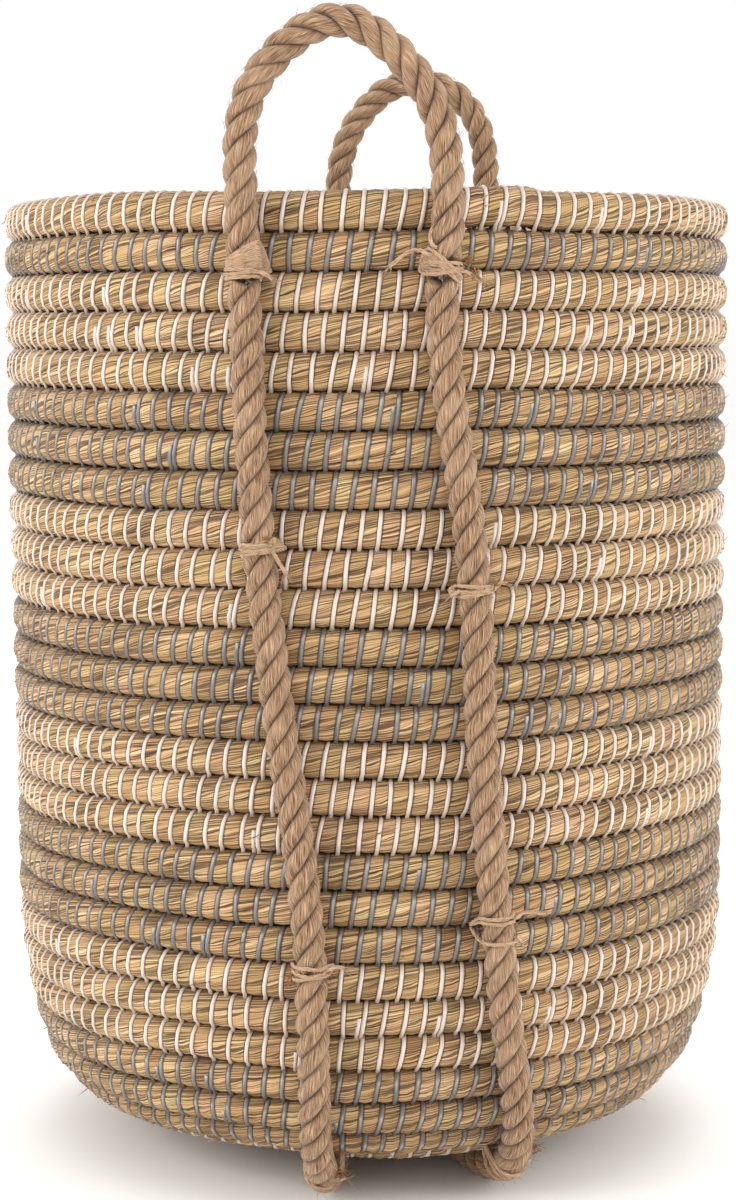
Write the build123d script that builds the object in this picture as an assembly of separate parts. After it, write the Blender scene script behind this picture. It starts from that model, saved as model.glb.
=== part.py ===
"""Laundry basket: a coiled straw body stitched in bands, with two rope handles.

The body is one straw bundle coiled from the middle of the base up to the rim. It is
cut here where the stitching strip changes colour, and where the wall meets the base.
A jute rope runs up the wall, under the base and up the other side on the left, and
another on the right. Over the rim they become the two handles. Twine ties them into
the grooves between the rows.

Millimetres, +Z up, origin on the floor at the middle of the basket's outline, front
at -Y.
"""

from build123d import *
from math import asin, cos, pi, radians, sin, sqrt, tan
import os

# Driving dimensions of the coiled body
BODY_RADIUS = 200.0  # outside of the straight wall
BODY_HEIGHT = 500.0  # underside of the base to the top of the rim
BUNDLE_RADIUS = 10.1  # a straw bundle before its neighbours press it flat
WALL_ROWS = 27
UPPER_ROWS = 12  # rows below the rim that are coiled a little thicker
UPPER_PITCH = 19.5
LOWER_PITCH = 18.65
BASE_RINGS = 7
BASE_EYE = 0.5  # how far the innermost ring's bundle stays from the axis
BAND_ROWS = (1, 1, 3, 3, 3, 3, 3, 3, 3, 3, 1)  # the wall's rows to a piece, rim downwards

# Lower wall: a long soft curve, then a tight one into the flat base
SOFT_CURVE_TOP = 125.0  # above the underside of the base
SOFT_CURVE_END = 40.0
SOFT_CURVE_RADIUS = 300.0

# Rope and twine
ROPE_RADIUS = 8.7
ROPE_GAP = 1.2  # rope to straw, so that its straight runs clear the round wall
ROPE_FLAT = 0.5  # how far the basket's weight presses the rope flat on the floor
TWINE_RADIUS = 1.1
TWINE_GAP = 0.1
TIE_DEPTH = 3.0  # how far a tie's ends sink into the groove between two rows

# The rope of a handle bends where it leaves the wall, just under the rim's top
HINGE_BELOW_RIM = 3.5
HINGE_GAP = 0.3

# Rope legs: X at depths below the hinge, down the straight wall, then X at the corner of
# the soft curve and X where the leg turns under the base
LEG_X = {
    "front_left": ([(0, -60.5), (140, -56.5), (250, -45.0), (345, -30.5)], -28.0, -27.5),
    "front_right": ([(0, 39.0), (62, 33.5), (175, 52.5), (260, 55.0), (345, 62.0)], 69.0, 80.0),
    "back_left": ([(0, -18.0), (150, -26.0), (290, -29.0)], -36.0, -40.0),
    "back_right": ([(0, 76.0), (120, 70.0), (260, 69.0)], 63.0, 60.0),
}
LEG_BEND = 275.0  # radius of a leg's slow bends down the wall and round the soft curve
# Under the middle of the base: X of each rope, and the radius of its bend there
ROPE_MIDDLE = {"left": (-9.8, 300.0), "right": (9.8, 200.0)}

# Handle loops: X and height above the hinge of the corners that their curve rounds
FRONT_LOOP = [(-61.5, 44.0), (-38.5, 77.0), (-12.0, 88.0), (14.0, 72.0), (35.5, 38.0)]
BACK_LOOP = [(-17.5, 50.0), (7.5, 85.0), (33.0, 92.0), (59.0, 84.0), (76.5, 55.0)]
BEND_SHARE = 0.45  # of the shorter run beside it, which each bend of a loop takes

LEG_SHARE = 0.4  # of a rope's path, more than either of its legs takes
HALVINGS = 40  # enough to find a place on a path to well under a micron

# Rows whose lower groove holds a tie, counted from the rim down
TIE_ROWS = {
    "front_left": (2, 9, 20, 26),
    "front_right": (2, 10, 19, 26),
    "back_left": (2, 10, 19, 26),
    "back_right": (2, 9, 20, 26),
}

LIFT = ROPE_GAP + 2 * ROPE_RADIUS - ROPE_FLAT  # underside of the base above the floor
ROPE_OFFSET = ROPE_RADIUS + ROPE_GAP
HINGE_Z = LIFT + BODY_HEIGHT - HINGE_BELOW_RIM

# The two curves of the outside profile, and the lengths of the bundle's centre line
SOFT_TURN = asin((SOFT_CURVE_TOP - SOFT_CURVE_END) / SOFT_CURVE_RADIUS)
TIGHT_CURVE_RADIUS = SOFT_CURVE_END / (1 - sin(SOFT_TURN))
SOFT_CENTRE_R = BODY_RADIUS - SOFT_CURVE_RADIUS
TIGHT_CENTRE_R = SOFT_CENTRE_R + (SOFT_CURVE_RADIUS - TIGHT_CURVE_RADIUS) * cos(SOFT_TURN)
STRAIGHT = BODY_HEIGHT - BUNDLE_RADIUS - SOFT_CURVE_TOP
SOFT = (SOFT_CURVE_RADIUS - BUNDLE_RADIUS) * SOFT_TURN
TIGHT = (TIGHT_CURVE_RADIUS - BUNDLE_RADIUS) * (pi / 2 - SOFT_TURN)


def profile(distance, inset=0.0):
    """Point (r, z) of the body's profile and how far its outward normal has turned
    down there. The distance runs down the bundle's centre line from the rim row's
    centre, and the point is that far inside the outside of the body."""
    if distance <= STRAIGHT:
        top = LIFT + BODY_HEIGHT - BUNDLE_RADIUS
        return BODY_RADIUS - inset, top - distance, 0.0
    if distance >= STRAIGHT + SOFT + TIGHT:
        return TIGHT_CENTRE_R - (distance - STRAIGHT - SOFT - TIGHT), LIFT + inset, pi / 2
    if distance <= STRAIGHT + SOFT:
        turn = (distance - STRAIGHT) / (SOFT_CURVE_RADIUS - BUNDLE_RADIUS)
        centre_r, centre_z = SOFT_CENTRE_R, SOFT_CURVE_TOP
        radius = SOFT_CURVE_RADIUS - inset
    else:
        past_soft = distance - STRAIGHT - SOFT
        turn = SOFT_TURN + past_soft / (TIGHT_CURVE_RADIUS - BUNDLE_RADIUS)
        centre_r, centre_z = TIGHT_CENTRE_R, TIGHT_CURVE_RADIUS
        radius = TIGHT_CURVE_RADIUS - inset
    return centre_r + radius * cos(turn), LIFT + centre_z - radius * sin(turn), turn


def row_distances():
    """Distance of each row's centre down the profile: the wall's rows, then the
    base's rings, evenly spaced to the middle."""
    distances = [0.0]
    for row in range(1, WALL_ROWS):
        above = UPPER_PITCH if row <= UPPER_ROWS else LOWER_PITCH
        below = UPPER_PITCH if row < UPPER_ROWS else LOWER_PITCH
        distances.append(distances[-1] + (above + below) / 2)
    to_axis = STRAIGHT + SOFT + TIGHT + TIGHT_CENTRE_R - distances[-1]
    ring_pitch = (to_axis - BUNDLE_RADIUS - BASE_EYE) / BASE_RINGS
    return distances + [distances[-1] + ring_pitch * (k + 1) for k in range(BASE_RINGS)]


ROWS = row_distances()


def row_centre(row):
    """Centre (r, z) of a row's section."""
    r, z, _ = profile(ROWS[row - 1], BUNDLE_RADIUS)
    return Vector(r, z)


def pressed_edge(row):
    """Outer and inner point of the flat where a row is pressed against the next."""
    here, below = row_centre(row), row_centre(row + 1)
    apart = below - here
    half_flat = sqrt(BUNDLE_RADIUS**2 - (apart.length / 2) ** 2)
    outward = Vector(-apart.Y, apart.X).normalized()
    middle = (here + below) * 0.5
    return middle + outward * half_flat, middle - outward * half_flat


def row_side(row, side):
    """The middle of a row's outer (side 1) or inner (side -1) surface."""
    _, _, turn = profile(ROWS[row - 1])
    return row_centre(row) + Vector(cos(turn), -sin(turn)) * BUNDLE_RADIUS * side


def coil_band(first, last):
    """The coil's rows from first to last, pressed together into one piece. The rim's
    top is round, and the eye of the base is filled level with its ring."""
    edges = []

    def arc(*profile_points):
        edges.append(ThreePointArc(*(Vector(p.X, 0, p.Y) for p in profile_points)))

    def line(*profile_points):
        edges.append(Line(*(Vector(p.X, 0, p.Y) for p in profile_points)))

    for row in range(first, last + 1):
        centre, crown, inside = row_centre(row), row_side(row, 1), row_side(row, -1)
        if row == 1:
            outer, inner = pressed_edge(row)
            arc(outer, centre + Vector(0, BUNDLE_RADIUS), inner)
        elif row == len(ROWS):
            for start, end in zip(pressed_edge(row - 1), (crown, inside)):
                halfway = ((start + end) * 0.5 - centre).normalized()
                arc(start, centre + halfway * BUNDLE_RADIUS, end)
                line(end, Vector(0, end.Y))
            line(Vector(0, crown.Y), Vector(0, inside.Y))
        else:
            starts, ends = pressed_edge(row - 1), pressed_edge(row)
            arc(starts[0], crown, ends[0])
            arc(starts[1], inside, ends[1])
    if first > 1:
        line(*pressed_edge(first - 1))
    if last < len(ROWS):
        line(*pressed_edge(last))
    return revolve(Face(Wire(edges)), Axis.Z, 360)


def leg_points(leg):
    """A rope leg's run down the wall: the hinge, its corners on the straight wall, the
    corner that the soft curve rounds, and the corner where it turns under the base."""
    side = -1 if leg.startswith("front") else 1
    on_wall, soft_x, base_x = LEG_X[leg]
    wall_r = BODY_RADIUS + ROPE_OFFSET
    soft_run = (SOFT_CURVE_RADIUS + ROPE_OFFSET) * tan(SOFT_TURN / 2)
    tight_run = (TIGHT_CURVE_RADIUS + ROPE_OFFSET) * tan((pi / 2 - SOFT_TURN) / 2)
    base_r = wall_r - (soft_run + tight_run) * sin(SOFT_TURN)

    def place(r, x, z):
        return Vector(x, side * r * cos(asin(x / r)), z)

    return [
        *(place(wall_r, x, HINGE_Z - depth) for depth, x in on_wall),
        place(wall_r, soft_x, LIFT + SOFT_CURVE_TOP - soft_run),
        place(base_r, base_x, LIFT - ROPE_OFFSET),
    ]


def leg_radii(leg):
    """The radius of each bend of a rope leg, downwards."""
    on_wall, _, _ = LEG_X[leg]
    return [LEG_BEND] * len(on_wall) + [TIGHT_CURVE_RADIUS + ROPE_OFFSET]


def tube(path, radius):
    """A round tube along a path."""
    section = Plane(origin=path @ 0, z_dir=path % 0) * Circle(radius)
    return sweep(section, path=path)


def rope_path(side):
    """A rope's centre line, from the front hinge under the base to the back one."""
    front, back = leg_points(f"front_{side}"), leg_points(f"back_{side}")
    middle_x, middle_radius = ROPE_MIDDLE[side]
    middle = Vector(middle_x, 0, LIFT - ROPE_OFFSET)
    end_below = ROPE_RADIUS + HINGE_GAP

    def leg_end(points):
        return points[0] + (points[1] - points[0]).normalized() * end_below

    points = [leg_end(front), *front[1:], middle, *reversed(back[1:]), leg_end(back)]
    back_radii = reversed(leg_radii(f"back_{side}"))
    radii = [*leg_radii(f"front_{side}"), middle_radius, *back_radii]
    return FilletPolyline(*points, radius=radii), radii


def rope(side):
    """One rope, pressed flat where it lies on the floor."""
    path, _ = rope_path(side)
    under_floor = Pos(0, 0, -BODY_RADIUS) * Box(*[2 * BODY_RADIUS] * 3)
    return tube(path, ROPE_RADIUS) - under_floor


def loop_radii(points):
    """The radius that rounds each corner of a loop as far as its runs allow."""
    radii = []
    for before, corner, after in zip(points, points[1:], points[2:]):
        arriving, leaving = corner - before, after - corner
        turn = radians(arriving.get_angle(leaving))
        run = min(arriving.length, leaving.length)
        radii.append(BEND_SHARE * run / tan(turn / 2))
    return radii


def handle_path(end, loop):
    """The centre line of a handle's rope, from its left hinge to its right one."""
    left, right = leg_points(f"{end}_left")[0], leg_points(f"{end}_right")[0]
    corners = []
    for x, height in loop:
        share = (x - left.X) / (right.X - left.X)
        corners.append(Vector(x, left.Y + (right.Y - left.Y) * share, HINGE_Z + height))
    points = [left, *corners, right]
    radii = loop_radii(points)
    return FilletPolyline(*points, radius=radii), radii


def handle(end, loop):
    """A handle's rope loop. Its ends are round, so that they turn in place."""
    path, _ = handle_path(end, loop)
    solid = tube(path, ROPE_RADIUS)
    for place in (path @ 0, path @ 1):
        solid += Pos(place.X, place.Y, place.Z) * Sphere(ROPE_RADIUS)
    return solid


def share_at_height(path, height, near_start):
    """The share of a rope's path at which its front or back leg crosses a height,
    found by halving the stretch from the leg's top to the foot of the basket."""
    low, high = (0.0, LEG_SHARE) if near_start else (1.0, 1 - LEG_SHARE)
    for _ in range(HALVINGS):
        middle = (low + high) / 2
        if (path @ middle).Z > height:
            low = middle
        else:
            high = middle
    return low


def tie(leg, row):
    """Twine over a rope leg. Both its ends go into the groove under that row."""
    end, side = leg.split("_")
    path, _ = rope_path(side)
    _, rope_z, turn = profile((ROWS[row - 1] + ROWS[row]) / 2, -ROPE_OFFSET)
    share = share_at_height(path, rope_z, end == "front")
    centre, along = path @ share, path % share
    outward = Vector(centre.X, centre.Y, 0).normalized() * cos(turn) - Vector(0, 0, sin(turn))
    outward = (outward - along * outward.dot(along)).normalized()
    across = along.cross(outward)
    reach = ROPE_RADIUS + TWINE_GAP + TWINE_RADIUS
    one_side, other_side = centre + across * reach, centre - across * reach
    inward = -outward * (ROPE_OFFSET + TIE_DEPTH)
    loop = Wire(
        [
            Line(one_side + inward, one_side),
            ThreePointArc(one_side, centre + outward * reach, other_side),
            Line(other_side, other_side + inward),
        ]
    )
    return tube(loop, TWINE_RADIUS)


def build():
    """Every node of the basket, by name."""
    nodes = {}
    row = 1
    for count in BAND_ROWS:
        last = row + count - 1
        name = f"coil_row_{row}" if count == 1 else f"coil_rows_{row}_to_{last}"
        nodes[name] = coil_band(row, last)
        row = last + 1
    nodes["coil_base"] = coil_band(row, len(ROWS))
    for side in ("left", "right"):
        nodes[f"{side}_rope"] = rope(side)
    nodes["front_handle"] = handle("front", FRONT_LOOP)
    nodes["back_handle"] = handle("back", BACK_LOOP)
    for leg, rows in TIE_ROWS.items():
        for number, tie_row in enumerate(rows, start=1):
            nodes[f"{leg}_tie_{number}"] = tie(leg, tie_row)
    return nodes


def report_ropes():
    """Print each rope's length, its volume against section times length, and radii."""
    section = pi * ROPE_RADIUS**2
    paths = {f"{side}_rope": rope_path(side) for side in ("left", "right")}
    paths["front_handle"] = handle_path("front", FRONT_LOOP)
    paths["back_handle"] = handle_path("back", BACK_LOOP)
    for name, (path, radii) in paths.items():
        share = tube(path, ROPE_RADIUS).volume / (section * path.length)
        bends = ", ".join(f"{radius:.0f}" for radius in radii)
        print(f"{name}: {path.length:.0f} mm, volume ratio {share:.4f}, radii {bends}")
    for end in ("front", "back"):
        left, right = leg_points(f"{end}_left")[0], leg_points(f"{end}_right")[0]
        print(f"{end} hinge from {tuple(left)} to {tuple(right)}")


os.makedirs("parts", exist_ok=True)
for name, shape in build().items():
    export_step(shape, f"parts/{name}.step")
report_ropes()
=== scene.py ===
"""Woven laundry basket: straw rows, strip stitches, jute ropes and twine ties.

The body is a coil of straw bundles sewn with white and grey strips. Each bundle, stitch,
strand and hair is a closed shape moved into place along the coil or along a rope.
"""

from functools import cache
from math import asin, ceil, cos, pi, radians, sin, tan, tau

import bmesh
import bpy
import numpy as np
from bpy.props import FloatProperty, FloatVectorProperty, PointerProperty
from mathutils import Matrix, Vector


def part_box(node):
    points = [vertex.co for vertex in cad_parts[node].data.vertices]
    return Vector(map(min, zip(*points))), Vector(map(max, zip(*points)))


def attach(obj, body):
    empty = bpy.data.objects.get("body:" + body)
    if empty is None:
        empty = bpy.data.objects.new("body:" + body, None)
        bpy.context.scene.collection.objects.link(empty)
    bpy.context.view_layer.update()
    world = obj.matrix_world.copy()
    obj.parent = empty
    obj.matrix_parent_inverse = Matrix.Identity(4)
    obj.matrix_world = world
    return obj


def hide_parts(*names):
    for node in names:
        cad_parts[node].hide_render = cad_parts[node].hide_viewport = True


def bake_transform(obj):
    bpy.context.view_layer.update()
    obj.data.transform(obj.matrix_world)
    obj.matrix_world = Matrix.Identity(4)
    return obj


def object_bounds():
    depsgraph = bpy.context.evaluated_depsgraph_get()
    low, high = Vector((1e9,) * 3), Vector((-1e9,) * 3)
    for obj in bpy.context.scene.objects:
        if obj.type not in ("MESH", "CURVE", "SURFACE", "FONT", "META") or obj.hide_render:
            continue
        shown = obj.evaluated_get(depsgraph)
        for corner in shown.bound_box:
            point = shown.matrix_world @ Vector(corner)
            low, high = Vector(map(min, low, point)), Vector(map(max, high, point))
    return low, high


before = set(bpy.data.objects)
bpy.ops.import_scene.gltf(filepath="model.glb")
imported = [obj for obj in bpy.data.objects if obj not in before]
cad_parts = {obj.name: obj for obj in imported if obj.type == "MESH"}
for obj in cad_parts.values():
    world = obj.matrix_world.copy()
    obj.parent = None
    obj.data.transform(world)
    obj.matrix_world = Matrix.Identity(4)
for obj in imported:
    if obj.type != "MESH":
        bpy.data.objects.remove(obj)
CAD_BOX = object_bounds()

bl_info = {
    "name": "Woven laundry basket",
    "version": (1, 0, 0),
    "blender": (4, 5, 0),
    "location": "3D View > Sidebar > Basket",
    "description": "Builds a stitched straw basket with rope handles around its packed frame",
    "category": "Add Mesh",
}

MM = 0.001


def length(name, millimetres, description):
    """A size that a user may change, stored in metres."""
    return FloatProperty(
        name=name, description=description, default=millimetres * MM, min=0.0,
        precision=5, unit="LENGTH",
    )


def linear(red, green, blue):
    """A display colour, 0 to 255, as linear light."""
    shares = (channel / 255 for channel in (red, green, blue))
    return tuple(s / 12.92 if s <= 0.04045 else ((s + 0.055) / 1.055) ** 2.4 for s in shares)


def colour(name, red, green, blue, description):
    """A colour that a user may change."""
    return FloatVectorProperty(
        name=name, description=description, default=linear(red, green, blue), size=3,
        min=0.0, max=1.0, subtype="COLOR",
    )


def factor(name, default, description):
    """A share from 0 to 1 that a user may change."""
    return FloatProperty(
        name=name, description=description, default=default, min=0.0, max=1.0, subtype="FACTOR"
    )


class StrawSettings(bpy.types.PropertyGroup):
    """Sizes and colours of the coiled straw."""

    bundle_radius: length("Bundle radius", 10.1, "Half the thickness of the basket's wall")
    upper_pitch: length("Upper pitch", 19.5, "Height of a row in the upper part of the wall")
    lower_pitch: length("Lower pitch", 18.65, "Height of a row in the lower part of the wall")
    soft_top: length("Soft curve top", 125.0, "Height above the base where the wall turns in")
    soft_end: length("Soft curve end", 40.0, "Height above the base where it turns in sharply")
    soft_radius: length("Soft curve radius", 300.0, "Radius of the wall's first turn")
    base_eye: length("Base eye", 0.5, "Gap at the middle of the base's first ring")
    ridge: length("Stem ridge", 0.42, "How far single stems stand out of a bundle")
    pinch: length("Pinch", 0.75, "How far a stitch presses into the straw")
    bulge: length("Bulge", 0.3, "How far the straw swells between two stitches")
    lay: length("Twist length", 300.0, "Length in which the straw turns once round a bundle")
    # Cracks is also the colour of the painted shade at the joints between rows and of the painted
    # contact shadow beside each stitch.
    shadow: colour("Cracks", 66, 44, 26, "Colour between the stems")
    brown: colour("Brown stems", 128, 93, 58, "Colour of the darker stems")
    tan: colour("Tan stems", 173, 139, 97, "Colour of most stems")
    light: colour("Light stems", 203, 172, 131, "Colour of the lighter stems")
    pale: colour("Pale stems", 232, 211, 176, "Colour of the palest stems")
    rosy: colour("Rosy cast", 255, 240, 230, "Tint of the warmer cells")
    olive: colour("Olive cast", 246, 241, 216, "Tint of the greener cells")


class StitchSettings(bpy.types.PropertyGroup):
    """Sizes and colours of the stitching strips."""

    spacing: length("Spacing", 10.0, "Distance from one stitch to the next")
    jitter: length("Jitter", 0.9, "How far stitches stray from even spacing")
    white_width: length("White width", 2.45, "Width of the white strip")
    grey_width: length("Grey width", 2.6, "Width of the grey strip")
    thickness: length("Thickness", 1.25, "Height of a folded strip")
    bite: length("Bite", 1.7, "How far below its own row a stitch enters the next one")
    lean: FloatProperty(
        name="Lean", description="How far a stitch's top leans to the right",
        default=radians(8), subtype="ANGLE",
    )
    row_shift: factor("Row shift", 0.35, "Share of the spacing that each row moves on")
    white: colour("White strip", 223, 212, 204, "Colour of the white strip")
    grey: colour("Grey strip", 118, 115, 112, "Colour of the grey strip")


class RopeSettings(bpy.types.PropertyGroup):
    """Sizes and colours of the jute ropes and twine."""

    rope_radius: length("Rope radius", 8.7, "Room that a rope takes")
    gap: length("Rope gap", 1.2, "Rope to straw")
    strand_radius: length("Strand radius", 4.0, "Half a strand's thickness")
    helix_radius: length("Strand offset", 4.5, "A strand's middle to the rope's middle")
    lay: length("Lay", 38.5, "Length in which a strand turns once round the rope")
    twine_radius: length("Twine radius", 0.55, "Half the thickness of one ply of twine")
    twine_lay: length("Twine lay", 15.0, "Length in which a ply turns once round the twine")
    hairs: FloatProperty(
        name="Hairs", description="Loose fibres to a millimetre of rope", default=2.4, min=0.0
    )
    # The grooves' colour is painted shade deep between the strands, and also the darkest fibres.
    shadow: colour("Grooves", 74, 49, 30, "Colour deep between the strands")
    brown: colour("Dark fibres", 120, 88, 60, "Colour of the darker fibres")
    tan: colour("Fibres", 163, 127, 93, "Colour of most fibres")
    light: colour("Light fibres", 204, 171, 137, "Colour of the lighter fibres")
    husk: colour("Husk", 158, 112, 70, "Colour of the coarse tufts on the ties")


class StageSettings(bpy.types.PropertyGroup):
    """Floor, light and camera."""

    floor: colour("Floor", 255, 254, 252, "Colour of the floor")
    sky: FloatProperty(name="Sky", description="Strength of the light all round", default=1.0)
    key: FloatProperty(name="Key light", description="Power of the big lamps", default=26.0)
    lens: FloatProperty(
        name="Focal length", description="Of the camera, on a 36 mm long side", default=76.29
    )
    camera_back: length("Camera distance", 1439.5, "Camera to the basket's middle")
    camera_height: length("Camera height", 453.8, "Camera above the floor")
    camera_tilt: FloatProperty(
        name="Camera tilt", description="How far the camera looks down",
        default=radians(6.245), subtype="ANGLE",
    )
    camera_roll: FloatProperty(
        name="Camera roll", description="How far the camera is turned about its view",
        default=-0.004, subtype="ANGLE",
    )


# ------------------------------------------------------------------ the basket's form

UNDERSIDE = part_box("coil_base")[0].z
RIM_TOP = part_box("coil_row_1")[1].z
BODY_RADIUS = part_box("coil_rows_3_to_5")[1].x
WALL_ROWS = 27
UPPER_ROWS = 12
BASE_RINGS = 7
HINGE_BELOW_RIM = 3.5 * MM
HINGE_Z = RIM_TOP - HINGE_BELOW_RIM

# Rope legs: X at depths below the hinge, down the straight wall, then X at the soft curve
# and where the leg turns under the base. The ropes' X under the middle of the base
LEG_X = {
    "front_left": ([(0, -60.5), (140, -56.5), (250, -45.0), (345, -30.5)], -28.0, -27.5),
    "front_right": ([(0, 41.0), (62, 33.5), (175, 52.5), (260, 55.0), (345, 62.0)], 69.0, 80.0),
    "back_left": ([(0, -18.0), (150, -26.0), (290, -29.0)], -36.0, -40.0),
    "back_right": ([(0, 76.0), (120, 70.0), (260, 69.0)], 63.0, 60.0),
}
ROPE_MIDDLE_X = {"left": -9.8, "right": 9.8}

# Handle loops: X and height above the hinge of the corners that their curve rounds
LOOPS = {
    "front": [(-61.5, 44.0), (-37.5, 74.0), (-12.0, 86.0), (13.0, 71.0), (37.5, 38.0)],
    "back": [(-17.5, 50.0), (7.5, 85.0), (33.0, 92.0), (59.0, 84.0), (76.5, 55.0)],
}


class Form:
    """The body's outside profile, and where each row's bundle lies along it."""

    def __init__(self, straw):
        self.bundle = straw.bundle_radius
        self.soft_radius = straw.soft_radius
        self.soft_top = straw.soft_top
        self.soft_turn = asin((straw.soft_top - straw.soft_end) / straw.soft_radius)
        self.tight_radius = straw.soft_end / (1 - sin(self.soft_turn))
        self.soft_r = BODY_RADIUS - straw.soft_radius
        inward = (straw.soft_radius - self.tight_radius) * cos(self.soft_turn)
        self.tight_r = self.soft_r + inward
        self.straight = RIM_TOP - UNDERSIDE - self.bundle - straw.soft_top
        self.soft = (straw.soft_radius - self.bundle) * self.soft_turn
        self.tight = (self.tight_radius - self.bundle) * (pi / 2 - self.soft_turn)
        self.rows = [0.0]
        for row in range(1, WALL_ROWS):
            above = straw.upper_pitch if row <= UPPER_ROWS else straw.lower_pitch
            below = straw.upper_pitch if row < UPPER_ROWS else straw.lower_pitch
            self.rows.append(self.rows[-1] + (above + below) / 2)
        wall_end = self.rows[-1]
        to_axis = self.straight + self.soft + self.tight + self.tight_r - wall_end
        pitch = (to_axis - self.bundle - straw.base_eye) / BASE_RINGS
        self.rows += [wall_end + pitch * (ring + 1) for ring in range(BASE_RINGS)]

    def profile(self, distance, inset):
        """Point (r, z) of the profile and how far its outward normal has turned down,
        at a distance along the bundle's centre line from the rim row's centre."""
        curved = distance - self.straight
        if curved <= 0:
            return BODY_RADIUS - inset, RIM_TOP - self.bundle - distance, 0.0
        if curved >= self.soft + self.tight:
            return self.tight_r - (curved - self.soft - self.tight), UNDERSIDE + inset, pi / 2
        if curved <= self.soft:
            turn = curved / (self.soft_radius - self.bundle)
            middle_r, middle_z, radius = self.soft_r, self.soft_top, self.soft_radius
        else:
            turn = self.soft_turn + (curved - self.soft) / (self.tight_radius - self.bundle)
            middle_r, middle_z, radius = self.tight_r, self.tight_radius, self.tight_radius
        radius -= inset
        return middle_r + radius * cos(turn), UNDERSIDE + middle_z - radius * sin(turn), turn


class Row:
    """One row of the coil: its place, its stitches and the swell of its straw."""

    SWAYS = (2, 3, 5, 8)  # waves to a round
    SWAY_OUT, SWAY_UP = 0.45 * MM, 0.3 * MM
    LEAN_SPREAD = 2.2  # degrees
    TONE_SPREAD, WARMTH_SPREAD = 0.24, 0.3
    COIL_END = radians(-66.4)  # where the last row ends on the rim
    END_OUT, END_UP = 0.6 * MM, 2.2 * MM  # how far the rim stands out and up there
    END_BEFORE, END_AFTER = 0.2, 0.035  # radians in which it rises and drops

    def __init__(self, number, form, stitch):
        self.number = number
        self.radius, self.z, self.turn = form.profile(form.rows[number - 1], form.bundle)
        here = form.rows[number - 1]
        above = here - form.rows[max(number - 2, 0)]
        below = form.rows[min(number, len(form.rows) - 1)] - here
        pitch = (above + below) / (2 if above and below else 1)
        self.half = pitch / 2
        self.bundle = form.bundle
        self.random = np.random.default_rng(100 + number)
        crown = self.radius + self.bundle * cos(self.turn)
        self.around = tau * crown
        self.count = max(6, round(self.around / stitch.spacing))
        stray = self.random.uniform(-1, 1, self.count) * stitch.jitter / stitch.spacing
        places = np.arange(self.count) + stitch.row_shift * number + stray
        self.stitches = np.sort(places / self.count * tau)
        self.lean = stitch.lean + np.radians(self.random.normal(0, self.LEAN_SPREAD, self.count))
        self.tone = np.clip(self.random.normal(0.5, self.TONE_SPREAD, self.count), 0, 1)
        warmth = self.random.normal(0.5, self.WARMTH_SPREAD, self.count)
        self.warmth = np.clip(warmth, 0, 1)

    def sway(self, angle):
        """How far hand work has moved the row outwards and upwards there. Rows that
        touch move together."""
        outward, upward = 0.0, 0.0
        for wave in self.SWAYS:
            phase = wave * 1.7 + 0.23 * self.number * (1 if wave % 2 else -1)
            outward = outward + np.sin(wave * angle + phase) * self.SWAY_OUT
            upward = upward + np.sin(wave * angle + phase * 1.3 + 2) * self.SWAY_UP
        if self.number == 1:
            past = (angle - self.COIL_END + pi) % tau - pi
            rise = np.exp(-((past / np.where(past < 0, self.END_BEFORE, self.END_AFTER)) ** 2))
            outward, upward = outward + rise * self.END_OUT, upward + rise * self.END_UP
        return outward, upward

    def place(self, angle, out, up):
        """Points at angles round the basket, so far out of and up from the row's
        middle, up being along the wall."""
        outward, upward = self.sway(angle)
        out, up = out + outward, up + upward
        r = self.radius + out * cos(self.turn) + up * sin(self.turn)
        z = self.z - out * sin(self.turn) + up * cos(self.turn)
        return np.stack(np.broadcast_arrays(r * np.cos(angle), r * np.sin(angle), z), axis=-1)


def form_and_rows(scene):
    """The body's form and all its rows, as the settings say."""
    form = Form(scene.basket_straw)
    rows = [Row(n, form, scene.basket_stitch) for n in range(1, len(form.rows) + 1)]
    return form, rows


def bands():
    """Each coil node's name with its first and last row."""
    found = {}
    for name in sorted(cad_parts):
        if name.startswith("coil_row"):
            numbers = [int(word) for word in name.split("_") if word.isdigit()]
            found[name] = (numbers[0], numbers[-1])
    found["coil_base"] = (1 + max(last for _, last in found.values()), WALL_ROWS + BASE_RINGS)
    return found


def is_grey(name):
    """True for the bands that are sewn with the grey strip: the second row, and from the
    sixth row down every other band of three."""
    first, last = bands()[name]
    return first == 2 or (last < WALL_ROWS and first > 5 and (first // 3) % 2 == 0)


# ------------------------------------------------------------------ shapes and pieces


class Shape:
    """A closed grid of faces, with each corner's place in it, to be moved as wanted."""

    def __init__(self, bm, name, around, along, place, closed):
        self.around, self.along = around, along
        bmesh.ops.recalc_face_normals(bm, faces=bm.faces)
        self.mesh = bpy.data.meshes.new(name)
        bm.to_mesh(self.mesh)
        bm.free()
        points = np.zeros(len(self.mesh.vertices) * 3)
        self.mesh.vertices.foreach_get("co", points)
        self.step, self.side = place(points.reshape(-1, 3))
        corners = np.zeros(len(self.mesh.loops), int)
        self.mesh.loops.foreach_get("vertex_index", corners)
        starts = np.zeros(len(self.mesh.polygons), int)
        self.mesh.polygons.foreach_get("loop_start", starts)
        face = np.repeat(np.arange(len(starts)), np.diff([*starts, len(corners)]))
        self.corner_step = self.unwrapped(self.step[corners], face, starts, along, closed)
        self.corner_side = self.unwrapped(self.side[corners], face, starts, around, True)
        self.face_step = np.minimum.reduceat(self.corner_step, starts)

    @staticmethod
    def unwrapped(values, face, starts, count, closed):
        """Places counted on past the seam, so that a face there isn't torn."""
        if not closed:
            return values
        widest = np.maximum.reduceat(values, starts) - np.minimum.reduceat(values, starts)
        return np.where((widest[face] > count / 2) & (values < count / 2), values + count, values)


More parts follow.
